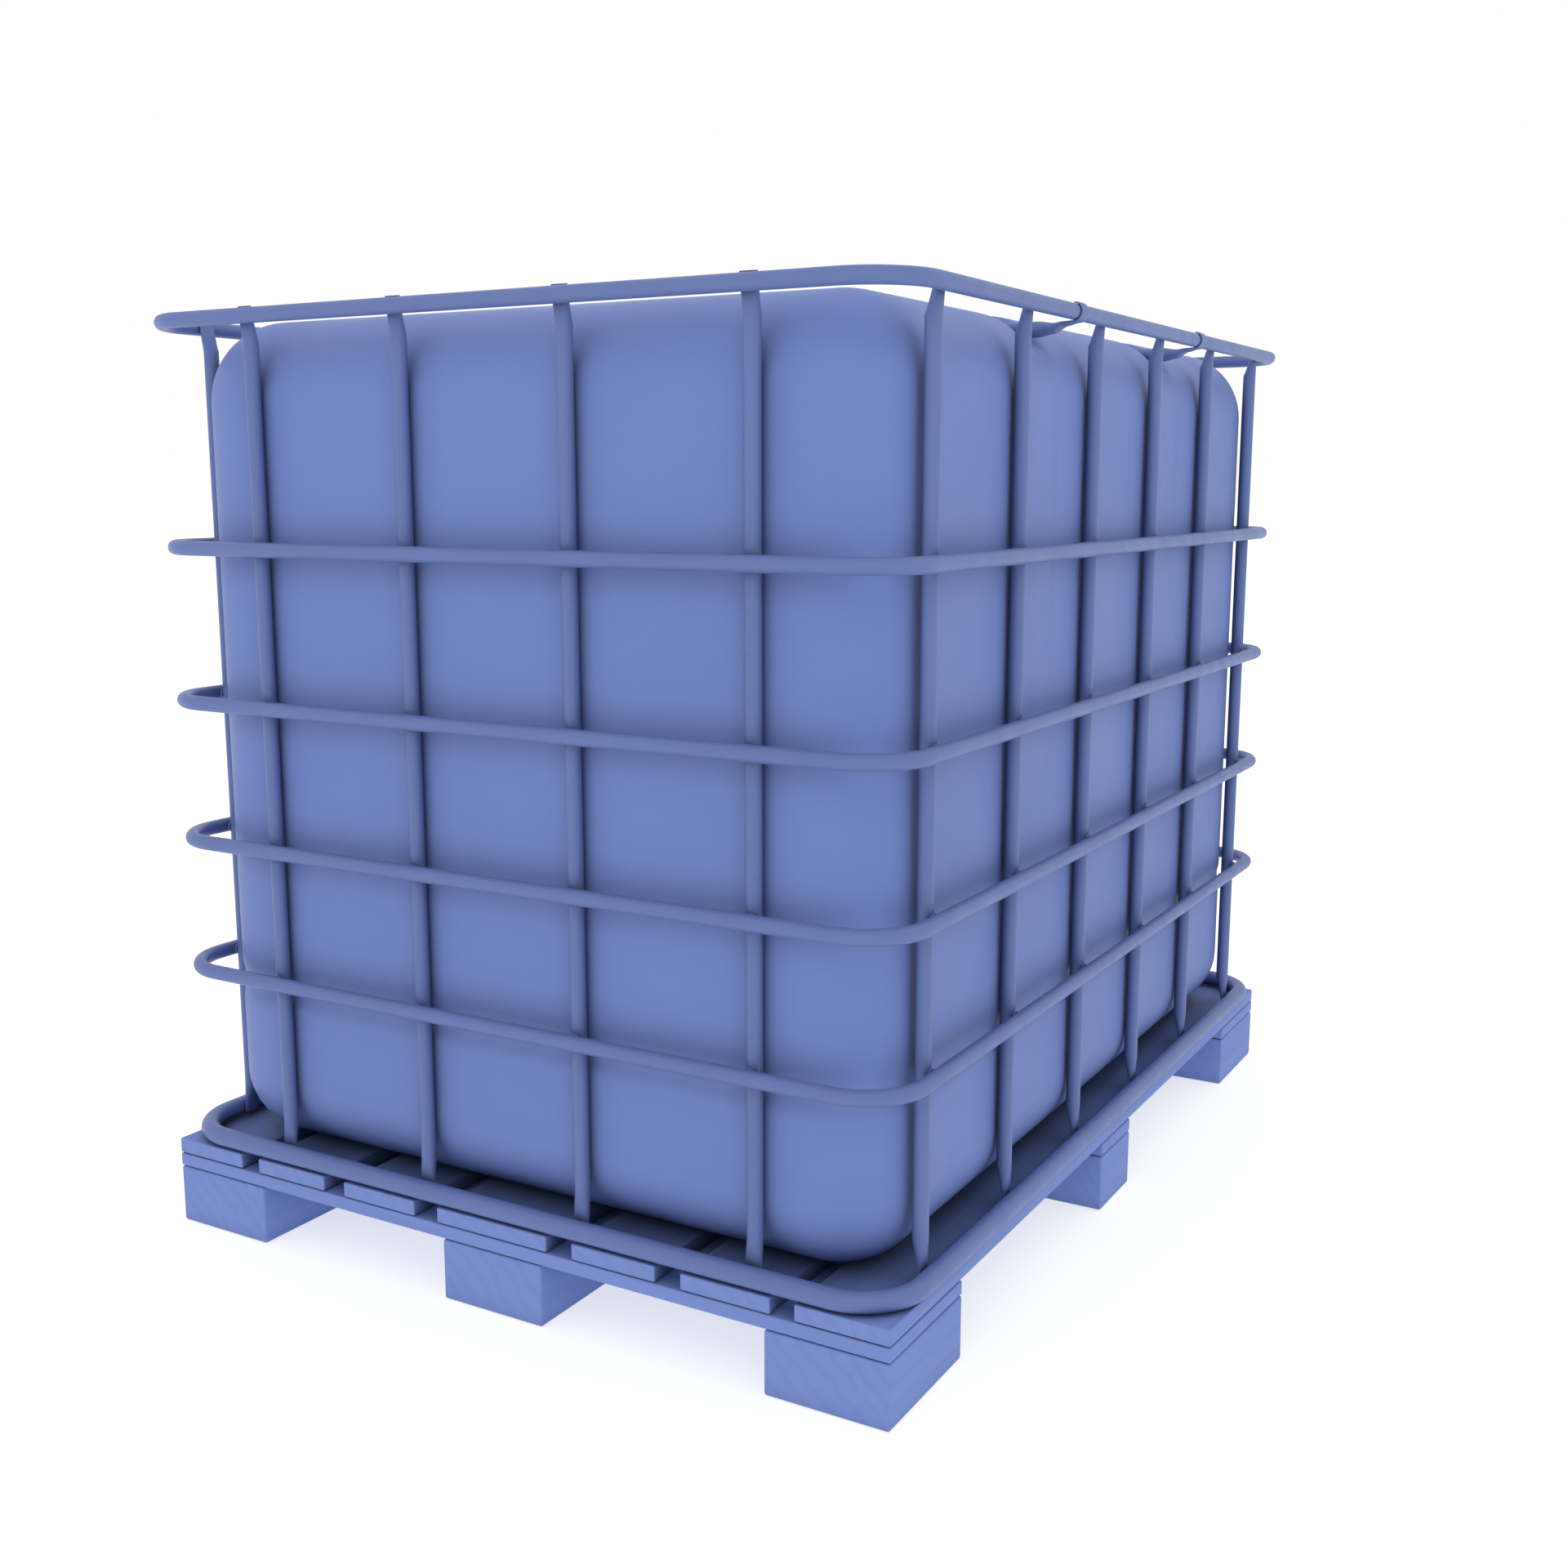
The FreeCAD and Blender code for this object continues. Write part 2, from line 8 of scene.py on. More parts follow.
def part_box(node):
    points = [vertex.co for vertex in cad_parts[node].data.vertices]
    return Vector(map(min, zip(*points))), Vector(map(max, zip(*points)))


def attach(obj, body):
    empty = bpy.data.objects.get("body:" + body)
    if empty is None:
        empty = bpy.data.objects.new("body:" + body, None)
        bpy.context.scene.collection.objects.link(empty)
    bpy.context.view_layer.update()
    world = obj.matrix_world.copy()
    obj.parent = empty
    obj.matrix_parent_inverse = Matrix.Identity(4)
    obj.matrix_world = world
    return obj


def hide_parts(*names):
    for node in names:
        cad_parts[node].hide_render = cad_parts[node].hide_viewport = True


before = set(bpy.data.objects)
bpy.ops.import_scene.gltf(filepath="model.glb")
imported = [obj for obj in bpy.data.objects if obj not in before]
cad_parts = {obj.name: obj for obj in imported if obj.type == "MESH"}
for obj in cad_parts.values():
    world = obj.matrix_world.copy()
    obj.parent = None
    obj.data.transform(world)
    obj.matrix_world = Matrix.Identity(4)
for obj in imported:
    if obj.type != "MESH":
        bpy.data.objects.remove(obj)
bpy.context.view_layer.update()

BODY = "container"
TAU = 2 * math.pi

# ---- sizes in metres; what the frame can tell is read from it, the rest repeats the design's radii
RING_BOXES = [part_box("ring_%d" % i) for i in range(1, 7)]
TUBE_R = (RING_BOXES[0][1].z - RING_BOXES[0][0].z) / 2
BASE_TUBE_R = (RING_BOXES[5][1].z - RING_BOXES[5][0].z) / 2
RING_HX = RING_BOXES[0][1].x - TUBE_R
RING_HY = RING_BOXES[0][1].y - TUBE_R
RING_CORNER_R = 0.0686
TOP_RING_Z = (RING_BOXES[0][0].z + RING_BOXES[0][1].z) / 2
JOINT_SWELL, JOINT_HALF = 0.0006, 0.003
BOX_SLACK = 0.00003         # keeps the facets of a round tube inside the design's box
PINCH_L, PINCH_T, PINCH_W = 0.040, 0.004, 0.020
FOOT_GAP = 0.0006           # between an upright's pinched foot and the base ring
BAR_Z, BAR_STRAIGHT = 1.0895, 0.452
HOOK_T, HOOK_W, HOOK_GAP = 0.0022, 0.022, 0.00015

BOTTLE_HX, BOTTLE_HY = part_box("bottle")[1].x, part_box("bottle")[1].y
BOTTLE_Z0, BOTTLE_Z1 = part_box("bottle")[0].z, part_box("bottle")[1].z
BOTTLE_R, SHOULDER_R, FOOT_R = 0.097, 0.096, 0.086
BEAD_Z, BEAD_DEPTH = (0.293, 0.306, 0.325, 0.338), 0.0025
GROOVE_Y, GROOVE_HALF, GROOVE_RAMP = 0.222, 0.014, 0.016
GROOVE_Z, GROOVE_HX, GROOVE_R = 1.080, 0.467, 0.050
WELL_Z, WELL_R0, WELL_R1 = 1.052, 0.100, 0.126
NECK_R, NECK_BORE, NECK_Z = 0.080, 0.072, 1.098
RECESS_HX, RECESS_Y, RECESS_Z, RECESS_ROUND = 0.120, 0.470, 0.285, 0.030
LID_ROOF_Z, LID_R, LID_BORE = NECK_Z + 0.004, 0.0868, 0.0806
LID_RIBS, LID_SPOKES, SPOKE_REACH = 24, 6, 0.0695
VALVE_Z, SPOUT_Y = 0.178, 0.505
STEM_Y = (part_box("valve_disc")[0].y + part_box("valve_disc")[1].y) / 2
SPOUT_ROOT, SPOUT_BORE = 0.0362, 0.025
NUT_R, NUT_LUGS = 0.0455, 12
HOUSING_R, HOUSING_Y0, HOUSING_Y1 = 0.0368, 0.524, 0.584
HOUSING_FLUTES, FLUTE_DEPTH = 16, 0.0012
STEM_BORE = 0.00505
CAP_R, CAP_BORE, CAP_TOP, CAP_RIBS = 0.0356, 0.0304, 0.0041, 16
NECK_PITCH, VALVE_PITCH = 0.007, 0.006


# ================================================================ mesh helpers

def smoothstep(x):
    x = min(max(x, 0.0), 1.0)
    return x * x * (3 - 2 * x)


def make_object(name, verts, faces, material, body=BODY, slot=None, replaces=(), sharp=35.0):
    mesh = bpy.data.meshes.new(name)
    mesh.from_pydata([tuple(v) for v in verts], [], faces)
    work = bmesh.new()
    work.from_mesh(mesh)
    bmesh.ops.remove_doubles(work, verts=work.verts, dist=1e-6)
    bmesh.ops.recalc_face_normals(work, faces=work.faces)
    work.to_mesh(mesh)
    work.free()
    mesh.shade_smooth()
    mesh.set_sharp_from_angle(angle=math.radians(sharp))
    mesh.materials.append(material)
    piece = bpy.data.objects.new(name, mesh)
    bpy.context.scene.collection.objects.link(piece)
    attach(piece, body)
    if replaces:
        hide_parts(*replaces)
    return piece


THREAD_TAPER = 0.2          # share of a turn over which a ridge fades in and out
THREAD_SECTION = ((-0.6, -0.30), (0.55, -0.17), (1.0, 0.0), (0.55, 0.17), (-0.6, 0.30))


class Build:
    """Collects lofted surfaces into one mesh."""

    def __init__(self):
        self.verts, self.faces = [], []

    def loft(self, loops, closed=True, caps=True, wrap=False):
        """Quads between loops of equal length; wrap joins the last loop to the first."""
        n, base = len(loops[0]), len(self.verts)
        for loop in loops:
            self.verts += loop
        steps = len(loops) if wrap else len(loops) - 1
        across = n if closed else n - 1
        for i in range(steps):
            a, b = base + i * n, base + ((i + 1) % len(loops)) * n
            for j in range(across):
                k = (j + 1) % n
                self.faces.append((a + j, a + k, b + k, b + j))
        if caps and not wrap:
            self.faces.append(tuple(range(base + n - 1, base - 1, -1)))
            self.faces.append(tuple(range(base + (len(loops) - 1) * n, base + len(loops) * n)))
        return self

    def turned(self, profile, origin, axis="Z", segments=64, bump=None, wrap=False, caps=False):
        """Surface of revolution of a profile of (radius, height); bump(angle, height, radius) adds to it."""
        loops = []
        for radius, height in profile:
            loop = []
            for i in range(segments):
                a = TAU * i / segments
                r = radius + (bump(a, height, radius) if bump else 0.0)
                p = (r * math.cos(a), r * math.sin(a), height)
                if axis == "Y":
                    p = (p[0], p[2], -p[1])
                loop.append(Vector(origin) + Vector(p))
            loops.append(loop)
        return self.loft(loops, caps=caps, wrap=wrap)

    def thread(self, radius, depth, pitch, start, turns, origin, axis="Z", segments=48):
        """Helical ridge of round-topped section, tapering out at both ends."""
        loops = []
        total = int(segments * turns)
        for i in range(total + 1):
            a = TAU * i / segments
            fade = smoothstep(min(i, total - i) / (segments * THREAD_TAPER))
            loop = []
            for r, h in THREAD_SECTION:
                rad = radius + depth * (r if r < 0 else r * fade)
                z = start + pitch * (i / segments + h)
                p = (rad * math.cos(a), rad * math.sin(a), z)
                if axis == "Y":
                    p = (p[0], p[2], -p[1])
                loop.append(Vector(origin) + Vector(p))
            loops.append(loop)
        return self.loft(loops)

    def rounded_box(self, low, high, radius, segments=3, shape=None):
        """Box with rounded edges; shape(point) may move each point."""
        work = bmesh.new()
        bmesh.ops.create_cube(work, size=1.0)
        size, centre = Vector(high) - Vector(low), (Vector(high) + Vector(low)) / 2
        for v in work.verts:
            v.co = Vector(v.co[i] * size[i] + centre[i] for i in range(3))
        bmesh.ops.bevel(work, geom=work.edges[:], offset=radius, segments=segments, profile=0.5,
                        affect="EDGES")
        base = len(self.verts)
        work.verts.index_update()
        self.verts += [shape(v.co.copy()) if shape else v.co.copy() for v in work.verts]
        self.faces += [tuple(base + v.index for v in f.verts) for f in work.faces]
        work.free()
        return self

    def finish(self, name, material, **options):
        return make_object(name, self.verts, self.faces, material, **options)


def oval(half_w, half_h, segments, power=1.0):
    """Points (u, v) of an oval; a power below 1 squares it off."""
    points = []
    for i in range(segments):
        a = TAU * i / segments
        c, s = math.cos(a), math.sin(a)
        points.append((half_w * math.copysign(abs(c) ** power, c),
                       half_h * math.copysign(abs(s) ** power, s)))
    return points


def rounded_rectangle(hx, hy, r, arc_steps, side_steps):
    """Points and outward normals round a rounded rectangle, anticlockwise from the middle of +X."""
    points = []
    centres = [(1, 1), (-1, 1), (-1, -1), (1, -1)]
    for quarter, (sx, sy) in enumerate(centres):
        cx, cy = sx * (hx - r), sy * (hy - r)
        for i in range(arc_steps + 1):
            a = math.pi / 2 * (quarter + i / arc_steps)
            normal = Vector((math.cos(a), math.sin(a), 0))
            points.append((Vector((cx, cy, 0)) + r * normal, normal))
        nx, ny = centres[(quarter + 1) % 4]
        end = Vector((nx * (hx - r), ny * (hy - r), 0)) + r * normal
        start = points[-1][0]
        for i in range(1, side_steps):
            points.append((start.lerp(end, i / side_steps), normal))
    return points


# ================================================================ materials

BLUE = (0.143, 0.205, 0.480)
STAIN = (0.168, 0.240, 0.548)
DEEP = (0.118, 0.168, 0.400)
DARK = (0.040, 0.055, 0.125)


class Shader:
    """Principled material with a few helpers for its procedural inputs."""

    def __init__(self, name, roughness, specular=0.5, metallic=0.0):
        self.material = bpy.data.materials.new(name)
        self.material.use_nodes = True
        self.tree = self.material.node_tree
        self.shader = self.tree.nodes["Principled BSDF"]
        self.shader.inputs["Roughness"].default_value = roughness
        self.shader.inputs["Specular IOR Level"].default_value = specular
        self.shader.inputs["Metallic"].default_value = metallic
        self.place = self.add("ShaderNodeTexCoord").outputs["Object"]
        self.height = None

    def add(self, kind, **values):
        node = self.tree.nodes.new(kind)
        for key, value in values.items():
            setattr(node, key, value)
        return node

    def link(self, a, b):
        self.tree.links.new(a, b)

    def stretched(self, scale):
        mapping = self.add("ShaderNodeMapping")
        mapping.inputs["Scale"].default_value = scale
        self.link(self.place, mapping.inputs["Vector"])
        return mapping.outputs["Vector"]

    def noise(self, scale, detail=3.0, rough=0.5, distortion=0.0, vector=None):
        node = self.add("ShaderNodeTexNoise")
        node.inputs["Scale"].default_value = scale
        node.inputs["Detail"].default_value = detail
        node.inputs["Roughness"].default_value = rough
        node.inputs["Distortion"].default_value = distortion
        self.link(vector or self.place, node.inputs["Vector"])
        return node.outputs["Fac"]

    def ramp(self, value, stops):
        """Grey level that runs between two stops."""
        node = self.add("ShaderNodeValToRGB")
        for element, (at, level) in zip(node.color_ramp.elements, stops):
            element.position = at
            element.color = (level, level, level, 1)
        self.link(value, node.inputs["Fac"])
        return node.outputs["Color"]

    def mix(self, factor, a, b, mode="MIX"):
        node = self.add("ShaderNodeMix", data_type="RGBA", blend_type=mode)
        for socket, value in ((node.inputs[0], factor), (node.inputs[6], a), (node.inputs[7], b)):
            if isinstance(value, (int, float)):
                socket.default_value = value
            elif isinstance(value, tuple):
                socket.default_value = (*value, 1)
            else:
                self.link(value, socket)
        return node.outputs[2]

    def colour(self, output, painted_shade_depth=0.66, reach=0.042):
        """Base colour with painted shade: darker in corners, under contacts and between parts, where an
        ambient-occlusion node finds them.
        """
        corner = self.add("ShaderNodeAmbientOcclusion", samples=4)
        corner.inputs["Distance"].default_value = reach
        # painted shade: the colour is darkened by up to the given depth where occlusion lies within reach
        painted_shade = self.ramp(corner.outputs["AO"], [(0.05, 1.0 - painted_shade_depth), (0.85, 1.0)])
        self.link(self.mix(1.0, output, painted_shade, "MULTIPLY"), self.shader.inputs["Base Color"])

    def roughness(self, value, low, high):
        node = self.add("ShaderNodeMapRange")
        node.inputs["From Min"].default_value = 0.3
        node.inputs["From Max"].default_value = 0.7
        node.inputs["To Min"].default_value = low
        node.inputs["To Max"].default_value = high
        self.link(value, node.inputs["Value"])
        self.link(node.outputs["Result"], self.shader.inputs["Roughness"])

    def bump(self, value, distance, strength=1.0):
        node = self.add("ShaderNodeBump")
        node.inputs["Distance"].default_value = distance
        node.inputs["Strength"].default_value = strength
        self.link(value, node.inputs["Height"])
        if self.height:
            self.link(self.height, node.inputs["Normal"])
        self.height = node.outputs["Normal"]
        self.link(self.height, self.shader.inputs["Normal"])


def tint(colour, k):
    return tuple(min(c * k, 1.0) for c in colour)


def moulded_plastic(name, colour, rough=(0.46, 0.60), grain=0.00012, translucent=0.0):
    """Satin moulded polyethylene: soft mottling, orange peel and light handling scuffs."""
    s = Shader(name, rough[0], specular=0.22)
    cloud = s.noise(2.2, 4, 0.55)
    base = s.mix(cloud, tint(colour, 0.93), tint(colour, 1.07))
    scuff = s.ramp(s.noise(34, 6, 0.7, 0.8, s.stretched((1, 1, 0.35))), [(0.60, 0.0), (0.78, 0.10)])
    s.colour(s.mix(scuff, base, tint(colour, 1.35)))
    s.roughness(s.noise(7.5, 5, 0.6), *rough)
    s.bump(s.noise(11, 2), 0.0011, 0.35)
    s.bump(s.noise(620, 2, 0.5), grain, 0.6)
    if translucent:
        s.shader.inputs["Subsurface Weight"].default_value = translucent
        s.shader.inputs["Subsurface Radius"].default_value = (0.006, 0.009, 0.020)
        s.shader.inputs["Subsurface Scale"].default_value = 0.8
    return s.material


def coated_steel(name, colour):
    """Powder-coated tube: fine orange peel, rubbed patches and specks of wear."""
    s = Shader(name, 0.42, specular=0.3)
    cloud = s.noise(5, 3, 0.5)
    base = s.mix(cloud, tint(colour, 0.92), tint(colour, 1.08))
    rubbed = s.ramp(s.noise(46, 6, 0.72, 0.6), [(0.62, 0.0), (0.80, 0.22)])
    worn = s.mix(rubbed, base, tint(colour, 1.5))
    specks = s.ramp(s.noise(310, 2, 0.6), [(0.70, 0.0), (0.80, 0.45)])
    s.colour(s.mix(specks, worn, tint(colour, 0.55)))
    s.roughness(s.noise(24, 4, 0.6), 0.36, 0.52)
    s.bump(s.noise(900, 2, 0.5), 0.00010, 0.8)
    s.bump(s.noise(60, 2, 0.5), 0.00022, 0.5)
    return s.material


def painted_wood(name, colour, along, painted_shade_depth=0.72, reach=0.11):
    """Blue-stained softwood; the grain runs along the given axis, with growth rings on the ends, and painted
    shade in corners and under contacts.
    """
    s = Shader(name, 0.66, specular=0.2)
    scale = [16.0, 16.0, 16.0]
    scale["XYZ".index(along)] = 0.75
    fibre_scale = [260.0, 260.0, 260.0]
    fibre_scale["XYZ".index(along)] = 5.0
    grain = s.noise(1.6, 5, 0.6, 1.4, s.stretched(tuple(scale)))
    fibre = s.noise(1.0, 4, 0.65, 0.4, s.stretched(tuple(fibre_scale)))
    bands = s.add("ShaderNodeTexWave", wave_type="BANDS", bands_direction="DIAGONAL")
    bands.inputs["Scale"].default_value = 1.3
    bands.inputs["Distortion"].default_value = 7.0
    bands.inputs["Detail"].default_value = 3.0
    bands.inputs["Detail Scale"].default_value = 0.8
    s.link(s.stretched(tuple(scale)), bands.inputs["Vector"])
    early = s.mix(grain, tint(colour, 0.92), tint(colour, 1.07))
    late = s.mix(s.ramp(bands.outputs["Fac"], [(0.55, 0.0), (0.95, 0.16)]), early, tint(colour, 0.70))
    # painted shade on the stained grain; the defaults make it deep and wide, for the deck boards under the
    # bottle
    s.colour(s.mix(s.ramp(fibre, [(0.60, 0.0), (0.80, 0.20)]), late, tint(colour, 1.25)), painted_shade_depth, reach)
    s.roughness(fibre, 0.56, 0.76)
    s.bump(bands.outputs["Fac"], 0.0005, 0.25)
    s.bump(fibre, 0.0006, 0.5)
    return s.material


def rubber(name, colour):
    """Dull moulded rubber with a fine speckle."""
    s = Shader(name, 0.6, specular=0.3)
    s.colour(s.mix(s.noise(60, 4), tint(colour, 0.8), tint(colour, 1.3)))
    s.roughness(s.noise(90, 3), 0.52, 0.7)
    s.bump(s.noise(700, 2), 0.0001, 0.6)
    return s.material


def bare_steel(name, colour):
    """Stained-over nail and screw steel, brushed unevenly."""
    s = Shader(name, 0.4, specular=0.5, metallic=0.85)
    s.colour(s.mix(s.noise(180, 4, 0.6), tint(colour, 0.7), tint(colour, 1.25)))
    s.roughness(s.noise(240, 3), 0.32, 0.55)
    s.bump(s.noise(500, 3), 0.00015, 0.6)
    return s.material


# Every material below darkens its colour with painted shade in corners and under contacts; the deck boards
# take the deepest, the blocks and stringers a lighter one.
BOTTLE_MATERIAL = moulded_plastic("bottle_polyethylene", BLUE, translucent=0.12)
CAP_MATERIAL = moulded_plastic("cap_polyethylene", DEEP, rough=(0.30, 0.42), grain=0.00008)
VALVE_MATERIAL = moulded_plastic("valve_polyethylene", tint(BLUE, 0.95), rough=(0.32, 0.45),
                                 grain=0.00008)
STEEL = coated_steel("cage_powder_coat", tint(BLUE, 0.78))
WOOD_ALONG_X = painted_wood("pallet_wood_along_x", STAIN, "X", painted_shade_depth=0.35, reach=0.03)
WOOD_ALONG_Y = painted_wood("pallet_wood_along_y", STAIN, "Y")
BLOCK_WOOD = painted_wood("pallet_block_wood", STAIN, "Y", painted_shade_depth=0.35, reach=0.03)
RUBBER = rubber("gasket_rubber", DARK)
FIXING = bare_steel("fixing_steel", tint(STAIN, 0.9))


# ================================================================ pallet

PLANK_CUTS = 24             # cross cuts that let a long face waver
SAW_DEPTH, SAW_WAVE, SAW_FINE = 0.00035, 0.00045, 0.00015


def plank(node, material, seed, ease=0.0022):
    """Sawn timber: rounded edges, slightly uneven faces kept inside the design's box."""
    low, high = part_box(node)
    size = high - low
    drift = Vector((seed * 3.17, seed * 1.31, seed * 7.7))

    def saw(point):
        offset = Vector()
        for i in range(3):
            wave = noise.noise(point * 3.5 + drift * (i + 1))
            fine = noise.noise(point * 22 + drift * (i + 2))
            offset[i] = SAW_DEPTH + SAW_WAVE * (0.5 + 0.5 * wave) + SAW_FINE * fine
        middle = (low + high) / 2
        return Vector(p - math.copysign(o, p - m) for p, o, m in zip(point, offset, middle))

    work = bmesh.new()
    bmesh.ops.create_cube(work, size=1.0)
    for v in work.verts:
        v.co = Vector(v.co[i] * size[i] + (low[i] + high[i]) / 2 for i in range(3))
    bmesh.ops.bevel(work, geom=work.edges[:], offset=ease, segments=3, profile=0.55, affect="EDGES")
    longest = max(range(3), key=lambda i: size[i])
    for step in range(1, PLANK_CUTS):
        at = low.copy()
        at[longest] = low[longest] + size[longest] * step / PLANK_CUTS
        normal = Vector((0, 0, 0))
        normal[longest] = 1
        bmesh.ops.bisect_plane(work, geom=work.verts[:] + work.edges[:] + work.faces[:],
                               plane_co=at, plane_no=normal)
    for v in work.verts:
        v.co = saw(v.co.copy())
    mesh = bpy.data.meshes.new("wood_" + node)
    work.to_mesh(mesh)
    work.free()
    mesh.shade_smooth()
    mesh.set_sharp_from_angle(angle=math.radians(30))
    mesh.materials.append(material)
    piece = bpy.data.objects.new("wood_" + node, mesh)
    bpy.context.scene.collection.objects.link(piece)
    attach(piece, BODY)
    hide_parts(node)


def make_pallet():
    for i in range(1, 10):
        plank("block_%d" % i, BLOCK_WOOD, i, ease=0.003)
    for i in range(1, 4):
        plank("stringer_%d" % i, WOOD_ALONG_X, 20 + i)
    for i in range(1, 8):
        plank("deck_board_%d" % i, WOOD_ALONG_Y, 40 + i)


# ================================================================ cage

def make_ring(number):
    """Bent tube with a flash-welded joint in the middle of its far side."""
    low, high = RING_BOXES[number - 1]
    z, r = (low.z + high.z) / 2, (high.z - low.z) / 2 - BOX_SLACK
    loops = []
    for point, normal in rounded_rectangle(RING_HX, RING_HY, RING_CORNER_R, 14, 12):
        near_joint = abs(point.x) / JOINT_HALF if point.y > RING_HY - 0.001 else 9
        swell = r + (JOINT_SWELL * math.exp(-near_joint ** 2) if number < 6 else 0.0)
        centre = Vector((point.x, point.y, z))
        loops.append([centre + normal * (u * swell / r) + Vector((0, 0, v * swell / r))
                      for u, v in oval(r, r, 24)])
    Build().loft(loops, wrap=True).finish("tube_ring_%d" % number, STEEL, slot="cage_steel",
                                          replaces=["ring_%d" % number])


def upright_axis(number):
    """Axis point and outward direction of an upright, from its box."""
    low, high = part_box("upright_%d" % number)
    centre = (low + high) / 2
    if high.x - low.x > high.y - low.y:
        out = Vector((0, math.copysign(1, centre.y), 0))
    else:
        out = Vector((math.copysign(1, centre.x), 0, 0))
    end_y = RING_HY - 2 * TUBE_R
    side_x = RING_HX - 2 * TUBE_R
    x = centre.x if out.y else out.x * side_x
    y = centre.y if out.x else out.y * end_y
    return Vector((x, y, 0)), out, low.z, high.z


def make_upright(number):
    axis, out, z0, z1 = upright_axis(number)
    across = Vector((out.y, -out.x, 0))
    stations = []
    top_shift = TUBE_R - PINCH_T / 2
    foot_shift = top_shift - (BASE_TUBE_R - TUBE_R) - FOOT_GAP
    for z_end, z_round, shift in ((z0, z0 + PINCH_L, foot_shift), (z1, z1 - PINCH_L, top_shift)):
        for i in range(11):
            t = i / 10
            squeeze = 1 - t ** 1.25
            stations.append((z_end + (z_round - z_end) * t, squeeze, shift))
    stations += [(z0 + PINCH_L + (z1 - z0 - 2 * PINCH_L) * i / 12, 0.0, 0.0) for i in range(1, 12)]
    stations.sort(key=lambda s: s[0])
    loops = []
    for z, squeeze, shift in stations:
        half_t = TUBE_R + (PINCH_T / 2 - TUBE_R) * squeeze
        half_w = TUBE_R + (PINCH_W / 2 - TUBE_R) * squeeze
        centre = axis + out * (shift * squeeze) + Vector((0, 0, z))
        loops.append([centre + across * u + out * v
                      for u, v in oval(half_w, half_t, 24, 1 - 0.35 * squeeze)])
    Build().loft(loops).finish("tube_upright_%d" % number, STEEL, slot="cage_steel",
                               replaces=["upright_%d" % number])


def bar_stations(side):
    """Centre, normal, half width and half height along one half of a cross bar."""
    radius = TUBE_R + HOOK_GAP + HOOK_T / 2
    strip_z = TOP_RING_Z - radius
    keys = [(BAR_STRAIGHT, BAR_Z, TUBE_R, TUBE_R), (0.470, BAR_Z + 0.0006, 0.0096, 0.0060),
            (0.484, strip_z - 0.0016, HOOK_W / 2, 0.0024), (RING_HX, strip_z, HOOK_W / 2, HOOK_T / 2)]
    stations = [(0.0, BAR_Z, TUBE_R, TUBE_R, 0.0), (BAR_STRAIGHT / 2, BAR_Z, TUBE_R, TUBE_R, 0.0)]
    for (xa, za, wa, ha), (xb, zb, wb, hb) in zip(keys, keys[1:]):
        for i in range(5):
            t = i / 5
            e = smoothstep(t)
            slope = math.atan2(zb - za, xb - xa) * math.sin(math.pi * t) * 0.6
            stations.append((xa + (xb - xa) * t, za + (zb - za) * e, wa + (wb - wa) * e,
                             ha + (hb - ha) * e, slope))
    for i in range(17):
        a = math.radians(-90 + 180 * i / 16)
        thin = 1.0 - 0.35 * smoothstep((i - 13) / 3)
        stations.append((RING_HX + radius * math.cos(a), TOP_RING_Z + radius * math.sin(a),
                         HOOK_W / 2 * (1.0 - 0.12 * smoothstep((i - 13) / 3)), HOOK_T / 2 * thin,
                         a + math.pi / 2))
    return [(side * x, z, w, h, angle) for x, z, w, h, angle in stations]


def make_cross_bar(number):
    low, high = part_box("cross_bar_%d" % number)
    y = (low.y + high.y) / 2
    loops = []
    for side in (-1, 1):
        half = bar_stations(side)
        for x, z, w, h, angle in (reversed(half) if side < 0 else half[1:]):
            square = 1 - 0.45 * smoothstep((TUBE_R - h) / TUBE_R)
            up = Vector((-math.sin(angle) * side, 0, math.cos(angle)))
            loops.append([Vector((x, y, z)) + Vector((0, u, 0)) + up * v
                          for u, v in oval(w, h, 24, square)])
    Build().loft(loops).finish("tube_cross_bar_%d" % number, STEEL, slot="cage_steel",
                               replaces=["cross_bar_%d" % number])


def make_welds():
    """Small upset of metal round each place where an upright is welded to a ring."""
    build = Build()
    for number in range(1, 21):
        axis, out, _, z1 = upright_axis(number)
        across = Vector((out.y, -out.x, 0))
        for low, high in RING_BOXES[:5]:
            z = (low.z + high.z) / 2
            if z > z1 - PINCH_L:
                z -= 0.001
            centre = axis + out * TUBE_R + Vector((0, 0, z))
            loops = []
            for i in range(18):
                a = TAU * i / 18
                wobble = 1 + 0.22 * noise.noise(centre * 40 + Vector((math.cos(a), math.sin(a), 0)) * 1.5)
                spread = (0.0052 if z > z1 - PINCH_L else 0.0062) * wobble
                ring_centre = (centre + across * (spread * math.cos(a))
                               + Vector((0, 0, spread * math.sin(a))))
                radial = across * math.cos(a) + Vector((0, 0, math.sin(a)))
                thick = 0.0016 * wobble
                loops.append([ring_centre + radial * (thick * math.cos(b)) + out * (thick * math.sin(b))
                              for b in (TAU * k / 8 for k in range(8))])
            build.loft(loops, wrap=True)
    build.finish("cage_welds", STEEL, slot="cage_steel")


def make_cage():
    for number in range(1, 7):
        make_ring(number)
    for number in range(1, 21):
        make_upright(number)
    for number in (1, 2):
        make_cross_bar(number)
    make_welds()


# ================================================================ bottle

def spaced(low, high, step):
    """Evenly spaced values from low to high, no further apart than step."""
    count = max(1, math.ceil((high - low) / step - 1e-9))
    return [low + (high - low) * i / count for i in range(count + 1)]


